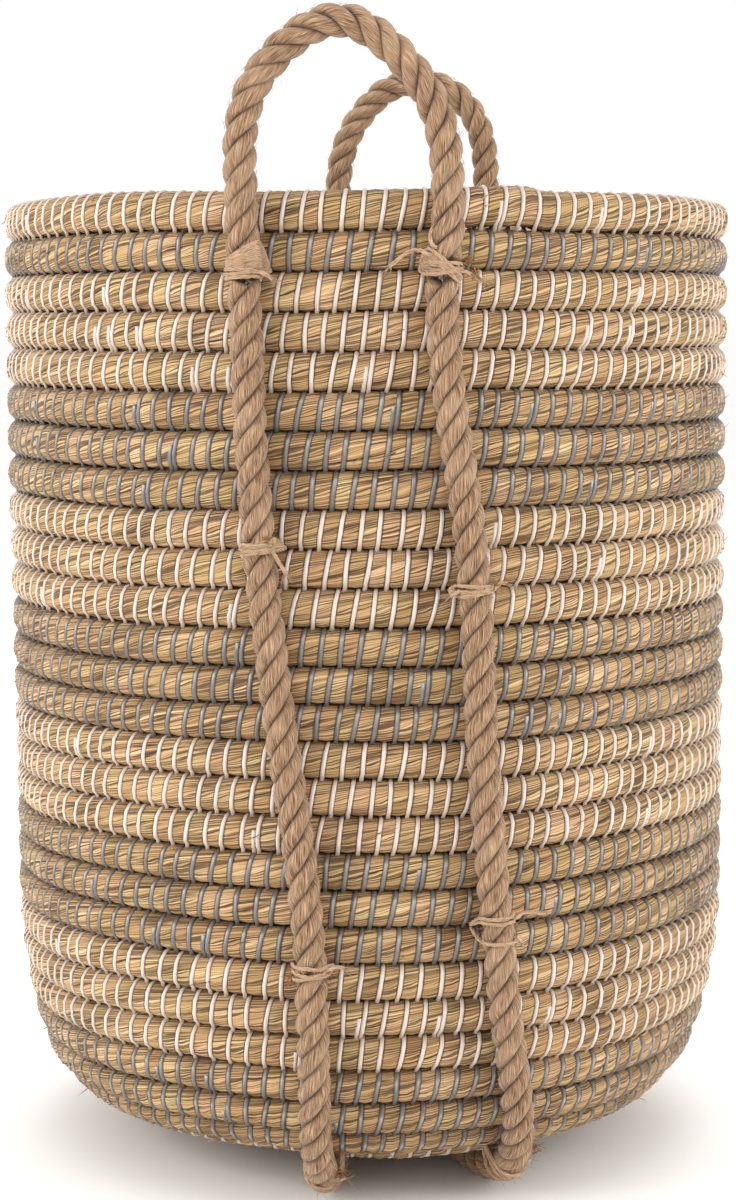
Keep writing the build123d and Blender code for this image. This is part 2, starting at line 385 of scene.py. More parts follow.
@cache
def ring_shape(around, along):
    """A closed ring: its section has so many sides, and it has so many steps."""
    bm = bmesh.new()
    upright = Matrix.Translation((2, 0, 0)) @ Matrix.Rotation(pi / 2, 4, "X")
    bmesh.ops.create_circle(bm, segments=around, radius=1, matrix=upright)
    bmesh.ops.spin(
        bm, geom=bm.verts[:] + bm.edges[:], cent=(0, 0, 0), axis=(0, 0, 1),
        angle=tau, steps=along, use_merge=True,
    )

    def place(points):
        angle = np.arctan2(points[:, 1], points[:, 0]) / tau
        reach = np.hypot(points[:, 0], points[:, 1]) - 2
        side = -np.arctan2(points[:, 2], reach) / tau
        step = np.rint(angle * along).astype(int) % along
        return step, np.rint(side * around).astype(int) % around

    return Shape(bm, "ring", around, along, place, True)


@cache
def rod_shape(around, along, pointed=False):
    """A closed rod with so many sides and steps, blunt or drawn to a point."""
    bm = bmesh.new()
    bmesh.ops.create_circle(bm, segments=around, radius=1)
    bmesh.ops.spin(
        bm, geom=bm.verts[:] + bm.edges[:], cent=(0, 0, 0), axis=(0, 0, 1),
        dvec=(0, 0, 1), angle=0, steps=along, use_merge=False,
    )
    if pointed:
        tip = [v for v in bm.verts if v.co.z > along - 0.5]
        bmesh.ops.pointmerge(bm, verts=tip, merge_co=(0, 0, along))
    open_edges = [edge for edge in bm.edges if edge.is_boundary]
    bmesh.ops.holes_fill(bm, edges=open_edges, sides=0)

    def place(points):
        side = np.arctan2(points[:, 1], points[:, 0]) / tau
        return np.rint(points[:, 2]).astype(int), np.rint(side * around).astype(int) % around

    return Shape(bm, "rod", around, along, place, False)


class Pile:
    """Closed shapes gathered into one piece of the basket."""

    def __init__(self):
        self.bm = bmesh.new()
        self.points, self.uvs, self.materials = [], [], []
        self.values = {"tone": [], "warmth": [], "groove": [], "near": []}

    def add(self, shape, points, uv, tone=0.5, warmth=0.5, groove=0.0, near=0.0, material=0):
        """Copies of a shape: points are (copies, vertices, 3) and uv (copies, corners,
        2). Tone and warmth are for faces, groove and near for vertices."""
        copies = len(points)
        for _ in range(copies):
            self.bm.from_mesh(shape.mesh)
        faces, vertices = len(shape.mesh.polygons), len(shape.mesh.vertices)
        self.points.append(np.asarray(points).reshape(-1, 3))
        self.uvs.append(np.broadcast_to(uv, (copies, len(shape.mesh.loops), 2)).reshape(-1, 2))
        self.materials.append(np.full(copies * faces, material))
        for name, value, count in (
            ("tone", tone, faces), ("warmth", warmth, faces),
            ("groove", groove, vertices), ("near", near, vertices),
        ):
            value = np.asarray(value, float)
            if value.ndim == 1 and len(value) == copies:
                value = value[:, None]
            self.values[name].append(np.broadcast_to(value, (copies, count)).ravel())

    def piece(self, name, *materials):
        """The finished piece, with smooth faces that point outwards."""
        mesh = bpy.data.meshes.new(name)
        self.bm.to_mesh(mesh)
        self.bm.free()
        points = np.concatenate(self.points)
        mesh.vertices.foreach_set("co", points.astype(np.float32).ravel())
        layer = mesh.uv_layers.new(name="fibre")
        layer.data.foreach_set("uv", np.concatenate(self.uvs).astype(np.float32).ravel())
        for value_name, domain in (
            ("tone", "FACE"), ("warmth", "FACE"), ("groove", "POINT"), ("near", "POINT"),
        ):
            values = mesh.attributes.new(value_name, "FLOAT", domain)
            gathered = np.concatenate(self.values[value_name]).astype(np.float32)
            values.data.foreach_set("value", gathered)
        mesh.polygons.foreach_set("material_index", np.concatenate(self.materials))
        mesh.update()
        if volume(mesh, points) < 0:
            mesh.flip_normals()
        mesh.shade_smooth()
        for material in materials:
            mesh.materials.append(material)
        made = bpy.data.objects.new(name, mesh)
        bpy.context.scene.collection.objects.link(made)
        return made


def volume(mesh, points):
    """The room inside a closed mesh, below zero if it is inside out."""
    mesh.calc_loop_triangles()
    corners = np.zeros(len(mesh.loop_triangles) * 3, int)
    mesh.loop_triangles.foreach_get("vertices", corners)
    a, b, c = points[corners.reshape(-1, 3)].transpose(1, 0, 2)
    return np.einsum("ij,ij->", a, np.cross(b, c)) / 6


def unit(vectors):
    """Vectors of length one."""
    return vectors / np.linalg.norm(vectors, axis=-1, keepdims=True)


def rounded(corners, rounds=4):
    """A smooth line that rounds the corners of a rough one, ends kept."""
    line = np.asarray(corners, float)
    for _ in range(rounds):
        first, last = line[:1], line[-1:]
        quarter = line[:-1] * 0.75 + line[1:] * 0.25
        three = line[:-1] * 0.25 + line[1:] * 0.75
        inner = np.stack([quarter, three], axis=1).reshape(-1, line.shape[1])
        line = np.concatenate([first, inner[1:-1], last])
    return line


def walked(line, step):
    """Points evenly spaced along a line, and their distances from its start."""
    runs = np.linalg.norm(np.diff(line[:, :3], axis=0), axis=1)
    far = np.concatenate([[0.0], np.cumsum(runs)])
    count = max(4, ceil(far[-1] / step))
    distance = np.linspace(0, far[-1], count + 1)
    points = [np.interp(distance, far, column) for column in line.T]
    return np.stack(points, axis=1), distance


def frames(path, outward):
    """Directions along a path, out of it, and across it."""
    along = unit(np.gradient(path, axis=-2))
    out = unit(outward - along * np.sum(outward * along, axis=-1, keepdims=True))
    return along, out, np.cross(along, out)


def tube_points(shape, path, out, across, radius):
    """A shape's vertices round one or more paths. Its seam faces away from out."""
    angle = tau * shape.side / shape.around + pi
    radius = np.broadcast_to(radius, path.shape[:-1])[..., shape.step, None]
    round_it = np.cos(angle)[:, None] * out[..., shape.step, :]
    round_it = round_it + np.sin(angle)[:, None] * across[..., shape.step, :]
    return path[..., shape.step, :] + radius * round_it


# ------------------------------------------------------------------ materials


class Value:
    """A number in a material. Sums with it in Python add Math nodes."""

    def __init__(self, finish, socket):
        self.finish, self.socket = finish, socket

    def maths(self, operation, *others):
        inputs = dict(enumerate((self, *others)))
        node = self.finish.node("ShaderNodeMath", inputs, operation=operation)
        return Value(self.finish, node.outputs[0])

    def __add__(self, other):
        return self.maths("ADD", other)

    __radd__ = __add__

    def __mul__(self, other):
        return self.maths("MULTIPLY", other)

    __rmul__ = __mul__

    def __sub__(self, other):
        return self.maths("SUBTRACT", other)

    def __rsub__(self, other):
        return (self * -1).maths("ADD", other)

    def between(self, low, high):
        """0 below low, 1 above high, and a smooth climb from one to the other."""
        node = self.finish.node(
            "ShaderNodeMapRange", {"Value": self, "From Min": low, "From Max": high},
            interpolation_type="SMOOTHSTEP", clamp=True,
        )
        return Value(self.finish, node.outputs["Result"])


class Finish:
    """A material under construction."""

    def __init__(self, name, roughness=0.7, **constants):
        self.material = bpy.data.materials.new(name)
        self.material.use_nodes = True
        self.tree = self.material.node_tree
        self.shader = self.tree.nodes["Principled BSDF"]
        self.shader.inputs["Roughness"].default_value = roughness
        for socket, value in constants.items():
            self.shader.inputs[socket.replace("_", " ")].default_value = value

    def node(self, kind, inputs=None, **settings):
        """Any node, with its sockets' values or links, and its settings."""
        made = self.tree.nodes.new(kind)
        for key, value in settings.items():
            if key == "stops":
                ramp = made.color_ramp.elements
                while len(ramp) < len(value):
                    ramp.new(0.5)
                for element, (position, rgb) in zip(ramp, value):
                    element.position, element.color = position, (*rgb, 1)
            else:
                setattr(made, key, value)
        for key, value in (inputs or {}).items():
            if isinstance(value, (Value, bpy.types.NodeSocket)):
                source = value.socket if isinstance(value, Value) else value
                self.tree.links.new(source, made.inputs[key])
            else:
                made.inputs[key].default_value = value
        return made

    def value(self, name):
        """A value that the mesh carries."""
        node = self.node("ShaderNodeAttribute", attribute_name=name)
        return Value(self, node.outputs["Fac"])

    def fibres(self, width, run, detail=2.0, shift=0.0, cell=0.0, warp=0.0):
        """Streaks along the mesh's own fibres, of that width and length. They are
        different in each cell if a cell's own value is given, and warped if wanted."""
        uv = self.node("ShaderNodeUVMap", uv_map="fibre")
        parts = self.node("ShaderNodeSeparateXYZ", {0: uv.outputs[0]})
        along, across = (Value(self, parts.outputs[axis]) for axis in (0, 1))
        place = self.node(
            "ShaderNodeCombineXYZ",
            {0: along * (1 / run) + shift, 1: (across + warp) * (1 / width), 2: cell},
        )
        noise = self.node(
            "ShaderNodeTexNoise",
            {"Vector": place.outputs[0], "Scale": 1.0, "Detail": detail, "Roughness": 0.55},
        )
        return Value(self, noise.outputs["Fac"])

    def patches(self, size):
        """Soft patches of that size through the piece's own space."""
        place = self.node("ShaderNodeTexCoord")
        noise = self.node(
            "ShaderNodeTexNoise",
            {"Vector": place.outputs["Object"], "Scale": 1 / size, "Detail": 1.0},
        )
        return Value(self, noise.outputs["Fac"])

    def ramp(self, value, stops):
        """A colour for each value, from stops of place and colour."""
        return self.node("ShaderNodeValToRGB", {"Fac": value}, stops=stops).outputs["Color"]

    def mix(self, share, first, second, blend="MIX"):
        """Two colours mixed or blended."""
        first, second = (
            (*c, 1) if isinstance(c, (tuple, list)) else c for c in (first, second)
        )
        inputs = {0: share, 6: first, 7: second}
        node = self.node("ShaderNodeMix", inputs, data_type="RGBA", blend_type=blend)
        return node.outputs[2]

    def surface(self, base, roughness=None, height=None, depth=0.0):
        """Link what changes over the surface, and give back the material."""
        self.tree.links.new(base, self.shader.inputs["Base Color"])
        if roughness is not None:
            self.tree.links.new(roughness.socket, self.shader.inputs["Roughness"])
        if height is not None:
            inputs = {"Strength": 1.0, "Distance": depth, "Height": height}
            bump = self.node("ShaderNodeBump", inputs)
            self.tree.links.new(bump.outputs[0], self.shader.inputs["Normal"])
        return self.material


def made_once(make):
    """A material function that makes its material the first time only."""
    kept = {}

    def get(settings):
        if make.__name__ not in kept:
            kept[make.__name__] = make(settings)
        return kept[make.__name__]

    return get


def tuples(settings, *names):
    """Colours from the settings."""
    return [tuple(getattr(settings, name)) for name in names]


@made_once
def straw_material(straw):
    """Dry stems: streaks along the bundle, cells of different tone, dark cracks, and painted shade
    at the joints between rows and beside the stitches.
    """
    shadow, brown, tan_, light, pale, rosy, olive = tuples(
        straw, "shadow", "brown", "tan", "light", "pale", "rosy", "olive"
    )
    f = Finish("straw", Specular_IOR_Level=0.3)
    tone, warmth = f.value("tone"), f.value("warmth")
    groove, near = f.value("groove"), f.value("near")
    warp = (f.fibres(7 * MM, 80 * MM, 1.0, shift=19.0) - 0.5) * (3 * MM)
    stems = f.fibres(1.1 * MM, 110 * MM, 1.0, warp=warp)
    threads = f.fibres(0.5 * MM, 110 * MM, 1.0, shift=7.0, warp=warp)
    leaves = f.fibres(3.0 * MM, 40 * MM, 1.0, shift=3.0, cell=warmth * 40)
    edges = f.fibres(1.3 * MM, 80 * MM, 1.0, shift=11.0, warp=warp)
    shade = (stems - 0.5) * 0.45 + (threads - 0.5) * 1.35 + (leaves - 0.5) * 0.4
    shade = shade + (tone - 0.5) * 0.2 + 0.67
    base = f.ramp(shade, [(0.0, shadow), (0.22, brown), (0.48, tan_), (0.72, light), (0.97, pale)])
    base = f.mix(warmth, f.mix(1.0, base, olive, "MULTIPLY"), f.mix(1.0, base, rosy, "MULTIPLY"))
    cracks = 1 - (edges - 0.5).maths("ABSOLUTE").between(0.015, 0.075)
    cracks = cracks * leaves.between(0.28, 0.46)
    gaps = 1 - stems.between(0.31, 0.38)
    base = f.mix(cracks * 0.85 + gaps * 0.4, base, shadow)
    # Painted shade at the joints between rows.
    base = f.mix(groove * 0.7, base, shadow)
    # Painted contact shadow on both sides of each stitch.
    base = f.mix(near.between(0.6, 0.74) * 0.75, base, shadow)
    height = stems * 0.6 + threads * 0.5 - cracks * 0.4
    return f.surface(base, threads * 0.3 + 0.5, height, 0.8 * MM)


@made_once
def white_material(stitch):
    """The white strip: soft plastic with fine folds along it, with painted shade at its edges and
    where it passes between rows.
    """
    (white,) = tuples(stitch, "white")
    f = Finish("white_strip", Specular_IOR_Level=0.4)
    folds = f.fibres(0.5 * MM, 9 * MM)
    dull_tone_and_edge_shade = linear(196, 176, 152)
    # Duller at random and along the folds; painted shade along the strip's edges and where it
    # passes between rows.
    base = f.mix(f.value("tone") * 0.25 + (1 - folds.between(0.3, 0.5)) * 0.35, white, dull_tone_and_edge_shade)
    base = f.mix((1 - f.value("near").between(0.0, 0.35)) * 0.45, base, dull_tone_and_edge_shade)
    base = f.mix(f.value("groove") * 0.45, base, linear(136, 108, 82))
    return f.surface(base, folds * 0.3 + 0.3, folds, 0.25 * MM)


@made_once
def grey_material(stitch):
    """The grey strip: shiny silvery plastic, folded along its middle, with a painted highlight
    along its ridge and painted shade where it passes between rows.
    """
    (grey,) = tuples(stitch, "grey")
    f = Finish("grey_strip", Specular_IOR_Level=0.7)
    folds = f.fibres(0.45 * MM, 8 * MM)
    base = f.mix(f.value("tone") * 0.5, grey, linear(90, 85, 80))
    # Painted highlight along the upper middle of the ridge, broken by the folds.
    painted_highlight = f.value("near") + (folds - 0.5) * 0.5
    base = f.mix(painted_highlight.between(0.45, 1.05) * 0.9, base, linear(206, 204, 204))
    # Painted shade where the strip passes between rows.
    base = f.mix(f.value("groove") * 0.5, base, linear(62, 50, 40))
    return f.surface(base, folds * 0.3 + 0.2, folds, 0.25 * MM)


def fibre_material(name, rope, width, run, lighter=0.0):
    """Jute: fine fibres, with painted shade deep in the grooves between strands, so lighter where
    they stand proud.
    """
    shadow, brown, tan_, light = tuples(rope, "shadow", "brown", "tan", "light")
    f = Finish(name, Sheen_Weight=0.25, Sheen_Roughness=0.5, Specular_IOR_Level=0.2)
    warp = (f.fibres(3 * MM, 7 * MM, shift=19.0) - 0.5) * (1.8 * MM)
    yarns = f.fibres(width * 3.5, run * 2.0, 1.0, shift=5.0, warp=warp)
    fibres = f.fibres(width, run, warp=warp)
    tone, groove = f.value("tone"), f.value("groove")
    shade = (fibres - 0.5) * 3.0 + (yarns - 0.5) * 0.9 + (tone - 0.5) * 0.3 + (0.52 + lighter)
    base = f.ramp(shade, [(0.0, shadow), (0.25, brown), (0.55, tan_), (0.95, light)])
    # Painted shade in the grooves between the strands.
    deep = groove.between(0.2, 1.0) * (yarns.between(0.3, 0.62) * 0.55 + 0.4)
    base = f.mix(deep, base, shadow)
    dust = f.patches(30 * MM)
    base = f.mix(dust.between(0.45, 0.7) * 0.25, base, light)
    return f.surface(base, fibres * 0.2 + 0.72, fibres * 0.7 + yarns * 0.6, 0.8 * MM)


@made_once
def jute_material(rope):
    """The ropes' jute."""
    return fibre_material("jute_rope", rope, 0.3 * MM, 5 * MM)


@made_once
def twine_material(rope):
    """The ties' jute, paler and coarser."""
    return fibre_material("jute_twine", rope, 0.4 * MM, 8 * MM, 0.25)


@made_once
def husk_material(rope):
    """Coarse orange-brown fibres."""
    (husk,) = tuples(rope, "husk")
    f = Finish("husk", Specular_IOR_Level=0.25)
    fibres = f.fibres(0.3 * MM, 5 * MM)
    base = f.mix(fibres.between(0.35, 0.65), husk, linear(190, 142, 94))
    base = f.mix(f.value("tone") * 0.4, base, linear(118, 80, 48))
    return f.surface(base, fibres * 0.2 + 0.6, fibres, 0.3 * MM)


def floor_material(stage):
    """Plain pale floor with the faintest mottle."""
    (floor,) = tuples(stage, "floor")
    f = Finish("floor", roughness=0.9, Specular_IOR_Level=0.1)
    darker = tuple(channel * 0.97 for channel in floor)
    return f.surface(f.mix(f.patches(0.5), floor, darker))


# ------------------------------------------------------------------ straw

SQUARENESS = 2.7  # of a bundle's section, where 2 is round
STEM_RUN = 60 * MM  # length over which a stem's height changes
STEM_ROUGHNESS = 0.2  # how far it jumps from step to step, as a share of the ridge
SWELL_SPREAD = 0.35  # of the swells between stitches, as a share of the bulge
UP_SHARE = 0.4  # share of a swell that is left where the next row presses on it
# The dark that the next power narrows is painted shade at the joints between rows.
GROOVE_SHADE_POWER = 9  # how narrowly the dark keeps to the joint between two rows


def smooth_noise(random, along, around, run):
    """Heights for a ring's fibres, by step and side, changing slowly along each."""
    knots = max(3, round(along / run))
    rough = random.normal(0, 1, (knots, around))
    place = np.arange(along) * knots / along
    before = place.astype(int) % knots
    share = (place - before)[:, None]
    share = share * share * (3 - 2 * share)
    return rough[before] * (1 - share) + rough[(before + 1) % knots] * share


def squared(value):
    """Sine or cosine of an angle, made fuller as the rows press a section square."""
    return np.sign(value) * np.abs(value) ** (2 / SQUARENESS)


def add_bundle(pile, row, straw, sides, cell_steps):
    """One row's straw bundle: stems twisted round it, pinched at each stitch."""
    along = row.count * cell_steps
    shape = ring_shape(sides, along)
    step, side = shape.step, shape.side
    turns = max(1, round(row.around / straw.lay))
    theta = tau * (turns * step / along - side / sides)
    place = step / cell_steps
    cells = np.arange(row.count + 1)
    angle = np.interp(place, cells, np.append(row.stitches, row.stitches[0] + tau))
    stems = smooth_noise(row.random, along, sides, STEM_RUN / (row.around / along))
    rough = row.random.normal(0, STEM_ROUGHNESS, stems.shape)
    stems = np.clip(stems * 0.6 + rough, -1.6, 1.6)
    swell = row.random.normal(1.0, SWELL_SPREAD, row.count)[step // cell_steps] * straw.bulge
    at_stitch = step % cell_steps == 0
    ridge = np.where(at_stitch, 0.3, 1.0) * straw.ridge
    height = np.where(at_stitch, -straw.pinch, swell) + stems[step, side] * ridge
    out = (row.bundle + height) * squared(np.cos(theta))
    up = (row.half + height * UP_SHARE) * squared(np.sin(theta))
    lean = np.interp(place, cells, np.append(row.lean, row.lean[0]))
    points = row.place(angle + up * np.tan(lean) / (row.around / tau), out, up)
    u = shape.corner_step / along * row.around + row.number * 1.37
    v = shape.corner_side / sides * tau * row.bundle
    cell = (shape.face_step // cell_steps) % row.count
    # The mesh carries the masks for painted shade at the joints between rows and beside each
    # stitch.
    pile.add(
        shape, points[None], np.stack([u, v], axis=-1), tone=row.tone[cell][None],
        warmth=row.warmth[cell][None], near=at_stitch[None],
        groove=(np.abs(np.sin(theta)) ** GROOVE_SHADE_POWER)[None],
    )


class BASKET_OT_straw(bpy.types.Operator):
    """Coil the straw rows of the wall and the rings of the base"""

    bl_idname = "basket.straw"
    bl_label = "Straw rows"

    SIDES, BASE_SIDES = 48, 32
    STEPS, SMALL_RING_STEPS = 2, 4  # from stitch to stitch
    SMALL_RING = 30  # stitches, at most, in a ring that needs more steps to look round

    def execute(self, context):
        straw = context.scene.basket_straw
        _, rows = form_and_rows(context.scene)
        for name, (first, last) in bands().items():
            pile = Pile()
            for row in rows[first - 1:last]:
                sides = self.BASE_SIDES if row.number > WALL_ROWS else self.SIDES
                small = row.count <= self.SMALL_RING
                steps = self.SMALL_RING_STEPS if small else self.STEPS
                add_bundle(pile, row, straw, sides, steps)
            piece = pile.piece(f"{name}_straw", straw_material(straw))
            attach(piece, "basket")
            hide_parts(name)
        return {"FINISHED"}


# ------------------------------------------------------------------ stitches

# Angles of a stitch's corners, in degrees up from straight out of the row: on the
# outside, on the inside, and on a short end left where a new strip was started
OUTSIDE, INSIDE = [84, 54, 24, -6, -34, -58], [-124, -160, 160, 124]
SHORT_END = [8, -16, -38, -58]
SHORT_END_SHARE = 1 / 18
BITE_OUT = 5.0 * MM  # from the middle of a row out to where a stitch enters the next one
STRIP_SINK = 0.1 * MM  # into the pinched straw
STRIP_WAVER = 0.08 * MM


def strip_section(width, thickness):
    """Across and height of the five corners of a folded strip's section."""
    across = np.array([0.0, 0.37, 0.5, -0.5, -0.37]) * width
    height = np.array([1.0, 0.76, 0.0, 0.0, 0.76]) * thickness
    return across, height


def strip_route(row, straw, degrees):
    """Points of a strip's underside round a row, given angles from straight out."""
    theta = np.radians(degrees)
    sunk = straw.pinch + STRIP_SINK
    out = (row.bundle - sunk) * squared(np.cos(theta))
    up = (row.half - sunk * UP_SHARE) * squared(np.sin(theta))
    return np.stack([out, up], axis=-1)


def add_strips(pile, shape, row, route, chosen, shift, width, thickness, closed):
    """Strips along a route (out, up) round a row, at the chosen stitches."""
    if closed:
        along = np.gradient(np.concatenate([route[-1:], route, route[:1]]), axis=0)[1:-1]
    else:
        along = np.gradient(route, axis=0)
    normal = unit(np.stack([along[:, 1], -along[:, 0]], axis=-1))
    across, height = strip_section(width, thickness)
    raised = route[shape.step] + normal[shape.step] * height[shape.side][:, None]
    lean = np.tan(row.lean[chosen])[:, None]
    sideways = across[shape.side] + shift + raised[:, 1] * lean
    waver = row.random.normal(0, STRIP_WAVER, (len(chosen), shape.along + 1))
    sideways = sideways + waver[:, shape.step]
    angle = row.stitches[chosen][:, None] + sideways / (row.around / tau)
    points = row.place(angle, raised[:, 0], raised[:, 1])
    run = np.concatenate([[0], np.cumsum(np.linalg.norm(np.diff(route, axis=0), axis=1))])
    run = np.append(run, run[-1] * 1.1)
    u = run[np.minimum(shape.corner_step, len(run) - 1)] + row.number * 0.7
    v = shape.corner_side / shape.around * 2 * width
    uv = np.stack([u, v], axis=-1)[None] + (chosen * 0.031)[:, None, None]
    # Masks for the painted shade where the strip passes between rows, and for the painted
    # highlight along its ridge and the painted shade at its edges.
    level = raised[:, 1] / row.half
    groove = np.clip(np.abs(level) ** 6, 0, 1)
    ridge = height[shape.side] / thickness * np.exp(-((level - 0.25) ** 2) * 3)
    tone = row.random.uniform(0, 1, len(chosen))
    pile.add(shape, points, uv, tone=tone, groove=groove[None], near=ridge[None])


def add_stitches(pile, row, straw, stitch, width):
    """A row's stitches. Each goes round the row and bites into the next one; some
    show the short end where a new strip was started."""
    outer, inner = strip_route(row, straw, OUTSIDE), strip_route(row, straw, INSIDE)
    bite = np.array([[side * BITE_OUT, -row.half - stitch.bite] for side in (1, -1)])
    route = np.concatenate([outer, bite, inner])[::-1]
    shape = ring_shape(5, len(route))
    everyone = np.arange(row.count)
    add_strips(pile, shape, row, route, everyone, 0.0, width, stitch.thickness, True)
    if row.number <= WALL_ROWS:
        starts = np.flatnonzero(row.random.uniform(0, 1, row.count) < SHORT_END_SHARE)
        stub = strip_route(row, straw, SHORT_END)
        stub = np.concatenate([stub, bite[:1], bite[:1] * [0.2, 1.05]])[::-1]
        short = rod_shape(5, len(stub) - 1)
        add_strips(pile, short, row, stub, starts, -width * 1.02, width, stitch.thickness, False)


class BASKET_OT_stitches(bpy.types.Operator):
    """Sew the rows together with white and grey strips"""

    bl_idname = "basket.stitches"
    bl_label = "Stitches"

    def execute(self, context):
        straw, stitch = context.scene.basket_straw, context.scene.basket_stitch
        _, rows = form_and_rows(context.scene)
        for name, (first, last) in bands().items():
            grey = is_grey(name)
            material = grey_material(stitch) if grey else white_material(stitch)
            width = stitch.grey_width if grey else stitch.white_width
            pile = Pile()
            for row in rows[first - 1:last]:
                add_stitches(pile, row, straw, stitch, width)
            piece = pile.piece(f"{name}_stitches", material)
            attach(piece, "basket")
        return {"FINISHED"}


# ------------------------------------------------------------------ loose straw


def add_hairs(pile, random, starts, direction, lift, length_range, radius, material=0):
    """Thin tapered fibres from points: along a direction, then bending by lift."""
    count = len(starts)
    size = random.uniform(*length_range, count)[:, None]
    travel = np.linspace(0, 1, 4)
    bend = random.normal(0, 0.3, (count, 3)) + lift
    path = starts[:, None] + size[:, None] * (
        direction[:, None] * travel[:, None] + bend[:, None] * (travel**2)[:, None] * 0.6
    )
    path[..., 2] = np.maximum(path[..., 2], 2 * radius)
    along = unit(np.gradient(path, axis=1))
    side = unit(np.cross(along, np.array([0.31, 0.52, 0.79])))
    shape = rod_shape(3, 3, pointed=True)
    thin = random.uniform(0.6, 1.2, count)[:, None] * radius * np.array([1.0, 0.85, 0.6, 0.0])
    points = tube_points(shape, path, side, np.cross(along, side), thin)
    u = shape.corner_step / 3 * 8 * MM
    v = shape.corner_side / 3 * 1.2 * MM
    uv = np.stack([u, v], axis=-1)[None] + random.uniform(0, 1, (count, 1, 2))
    pile.add(shape, points, uv, tone=random.uniform(0.3, 1, count), material=material)


class BASKET_OT_loose_straw(bpy.types.Operator):
    """Let stem ends stand out of the bundles"""

    bl_idname = "basket.loose_straw"
    bl_label = "Loose straw ends"

    PER_ROW = 34  # ends
    INSIDE_SHARE = 0.25

    def execute(self, context):
        straw = context.scene.basket_straw
        _, rows = form_and_rows(context.scene)
        random = np.random.default_rng(7)
        pile = Pile()
        for row in rows[:WALL_ROWS]:
            angle = random.uniform(0, tau, self.PER_ROW)
            theta = np.radians(random.uniform(-80, 80, self.PER_ROW))
            inside = random.uniform(0, 1, self.PER_ROW) < self.INSIDE_SHARE
            theta = np.where(inside, theta + pi, theta)
            out, up = row.bundle * np.cos(theta), row.half * np.sin(theta)
            starts = row.place(angle, out, up)
            ahead = random.choice([-1, 1], self.PER_ROW)
            further = row.place(angle + ahead * 0.02, out, up + ahead * 1.1 * MM)
            direction = unit(further - starts)
            lift = unit(row.place(angle, out * 1.1, up * 1.1) - starts) * 0.55
            add_hairs(pile, random, starts - direction * MM, direction, lift,
                      (4 * MM, 13 * MM), 0.38 * MM)
        piece = pile.piece("loose_straw_ends", straw_material(straw))
        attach(piece, "basket")
        return {"FINISHED"}


# ------------------------------------------------------------------ ropes

PLIES = 3  # of a rope and of a piece of twine
CLEAR_OF_FLOOR = 0.05 * MM
LEG_POINTS = 50
ROPE_SIDES, ROPE_STEP = 16, 2.6 * MM
TWINE_SIDES, TWINE_STEP = 5, 1.1 * MM


def leg_line(form, rope, leg):
    """A rope leg's points (x, y, z) and outward directions, from the hinge down the
    wall to the flat of the base."""
    side = -1 if leg.startswith("front") else 1
    offset = rope.rope_radius + rope.gap
    on_wall, soft_x, base_x = LEG_X[leg]
    wall_r = BODY_RADIUS + offset
    base_run = (form.tight_radius + offset) * tan((pi / 2 - form.soft_turn) / 2)
    soft_run = (form.soft_radius + offset) * tan(form.soft_turn / 2)
    base_r = wall_r - (soft_run + base_run) * sin(form.soft_turn)
    soft_z = UNDERSIDE + form.soft_top - soft_run
    corners = [(HINGE_Z - depth * MM, asin(x * MM / wall_r)) for depth, x in on_wall]
    corners += [(soft_z, asin(soft_x * MM / wall_r))]
    corners += [(UNDERSIDE - offset, asin(base_x * MM / base_r))]
    heights, angles = rounded(corners).T
    top = RIM_TOP - form.bundle - HINGE_Z
    end = form.straight + form.soft + form.tight
    points = []
    for distance in np.linspace(top, end, LEG_POINTS):
        r, z, turn = form.profile(distance, -offset)
        angle = np.interp(z, heights[::-1], angles[::-1])
        x, y = sin(angle), side * cos(angle)
        points.append([r * x, r * y, z, x * cos(turn), y * cos(turn), -sin(turn)])
    return np.array(points)


def middle_height(node):
    """Height of a node's middle."""
    low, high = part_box(node)
    return (low.z + high.z) / 2


def tie_height(leg):
    """Height of the uppermost tie of a leg, where handle and rope meet."""
    return middle_height(f"{leg}_tie_1")


def run_line(form, rope, side):
    """A rope's whole line under the basket, from its front upper tie to its back one."""
    front = leg_line(form, rope, f"front_{side}")
    back = leg_line(form, rope, f"back_{side}")[::-1]
    front = front[front[:, 2] <= tie_height(f"front_{side}")]
    back = back[back[:, 2] <= tie_height(f"back_{side}")]
    middle = [ROPE_MIDDLE_X[side] * MM, 0, front[-1][2], 0, 0, -1]
    return rounded(np.concatenate([front, [middle], back]), 3)


def handle_line(form, rope, end):
    """A handle's line, from its left upper tie over the loop to its right one."""
    legs = []
    for side in ("left", "right"):
        line = leg_line(form, rope, f"{end}_{side}")
        legs.append(line[line[:, 2] >= tie_height(f"{end}_{side}") - 1 * MM])
    left, right = legs
    corners = []
    for x, height in LOOPS[end]:
        share = (x * MM - left[0][0]) / (right[0][0] - left[0][0])
        y = left[0][1] + (right[0][1] - left[0][1]) * share
        corners.append([x * MM, y, HINGE_Z + height * MM, 0, 1 if end == "back" else -1, 0])
    return rounded(np.concatenate([left[::-1][:-1], corners, right[1:]]))


